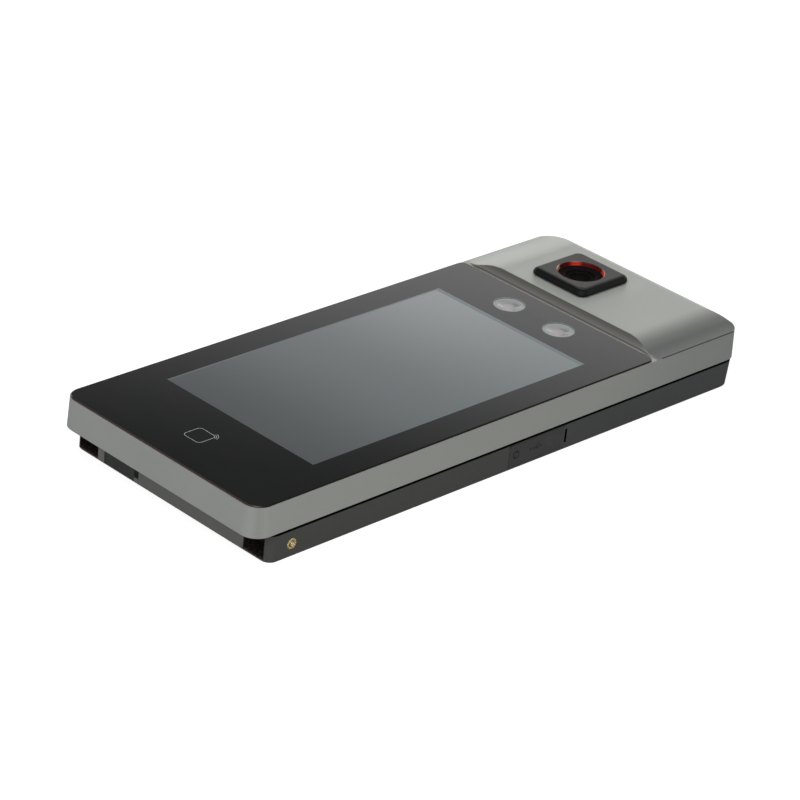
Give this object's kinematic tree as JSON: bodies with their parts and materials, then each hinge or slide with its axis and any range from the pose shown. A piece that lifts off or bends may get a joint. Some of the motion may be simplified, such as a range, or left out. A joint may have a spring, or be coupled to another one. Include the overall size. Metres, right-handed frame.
{
  "type": "face and temperature access terminal",
  "caption": "Slim wall-mounted access terminal with a touch display, two round lamp lenses and a raised head that carries a square thermal camera block.",
  "frame": {"origin": "middle of the rear face, on the wall plane", "axes": "+X to the right and +Y towards the head, as seen from the front; +Z out of the front face"},
  "size_m": [0.1154, 0.282, 0.0322],
  "materials": {
    "frame_metal": "fine brushed and clear coated, satin",
    "black_glass": "polished cover glass, printed black on its rear",
    "lamp_clear": "moulded lens with a finely frosted rim",
    "led_package": "white package with a yellow phosphor",
    "amber_film": "amber film over copper tracks",
    "connector_plastic": "moulded ivory plastic",
    "adhesive": "thin foam tape",
    "display_panel": "unlit display panel",
    "sheet_steel": "plain pressed sheet",
    "white_sheet": "white diffuser stack",
    "circuit_board": "solder resist over fibreglass",
    "black_module": "fine moulded black plastic",
    "block_black": "fine satin moulded black",
    "ring_red": "turned and red anodised",
    "lens_dark": "coated germanium lens",
    "shell_black": "fine spark-textured moulding",
    "rubber_black": "soft matte rubber",
    "brass": "turned and knurled",
    "screw_steel": "zinc plated",
    "plated_shell": "bright tin plated sheet",
    "terminal_plastic": "green moulded plastic",
    "relay_case": "sealed relay case",
    "paper_cone": "coated paper",
    "spring_steel": "drawn wire"
  },
  "bodies": {
    "terminal": {"front_frame": "frame_metal", "front_glass": "black_glass", "glass_tape": "adhesive", "left_lamp_lens": "lamp_clear", "right_lamp_lens": "lamp_clear", "lamp_leds": "led_package", "camera_board": "circuit_board", "display_ribbon": "amber_film", "display_connector": "connector_plastic", "camera_ribbon": "amber_film", "camera_connector": "connector_plastic", "lcd_cell": "display_panel", "backlight_unit": "white_sheet", "lcd_tray": "sheet_steel", "card_antenna": "circuit_board", "camera_bracket": "sheet_steel", "visible_camera": "black_module", "infrared_camera": "black_module", "thermal_bezel": "block_black", "accent_ring": "ring_red", "lens_barrel": "black_module", "thermal_lens": "lens_dark", "thermal_core": "black_module", "thermal_sensor": "lens_dark", "thermal_board": "circuit_board", "rear_shell": "shell_black", "case_seal": "rubber_black", "case_screws": "screw_steel", "left_side_insert": "brass", "right_side_insert": "brass", "side_cover_anchor": "rubber_black", "side_port_block": "black_module", "usb_socket": "plated_shell", "usb_board": "circuit_board", "main_board": "circuit_board", "board_screws": "screw_steel", "network_jack": "plated_shell", "signal_terminal": "terminal_plastic", "power_terminal": "terminal_plastic", "processor_shield": "sheet_steel", "door_relay": "relay_case", "clock_cell": "sheet_steel", "cell_holder": "black_module", "speaker_gasket": "rubber_black", "speaker_basket": "sheet_steel", "speaker_cone": "paper_cone", "microphone": "sheet_steel", "microphone_boot": "rubber_black", "tamper_switch": "black_module", "tamper_spring": "spring_steel"},
    "side_flap": {"side_service_cover": "rubber_black", "cover_screw": "screw_steel"},
    "end_flap": {"end_service_cover": "rubber_black"},
    "reset_key": {"reset_button": "white_sheet"},
    "tamper_plunger": {"tamper_button": "white_sheet"},
    "thermal_shutter": {"shutter_blade": "sheet_steel"}
  },
  "joints": [
    {"name": "side_cover_fold", "type": "hinge", "parent": "terminal", "child": "side_flap", "pos_m": [0.0574, 0.0294, 0.00625], "axis": [0, 0, 1], "range_deg": [0, 110]},
    {"name": "end_cover_fold", "type": "hinge", "parent": "terminal", "child": "end_flap", "pos_m": [-0.0389, -0.1323, 0.00625], "axis": [0, 0, -1], "range_deg": [0, 110]},
    {"name": "reset_press", "type": "slide", "parent": "terminal", "child": "reset_key", "axis": [-1, 0, 0], "range_m": [0, 0.0004], "stiffness_N_per_m": 400, "springref_m": -0.0008},
    {"name": "tamper_press", "type": "slide", "parent": "terminal", "child": "tamper_plunger", "axis": [0, 0, 1], "range_m": [0, 0.0016], "stiffness_N_per_m": 300, "springref_m": -0.002, "deforming": ["tamper_spring"]},
    {"name": "shutter_swing", "type": "hinge", "parent": "terminal", "child": "thermal_shutter", "pos_m": [-0.00392, 0.12089, 0.01765], "axis": [0, 0, 1], "range_deg": [0, 34]}
  ]
}
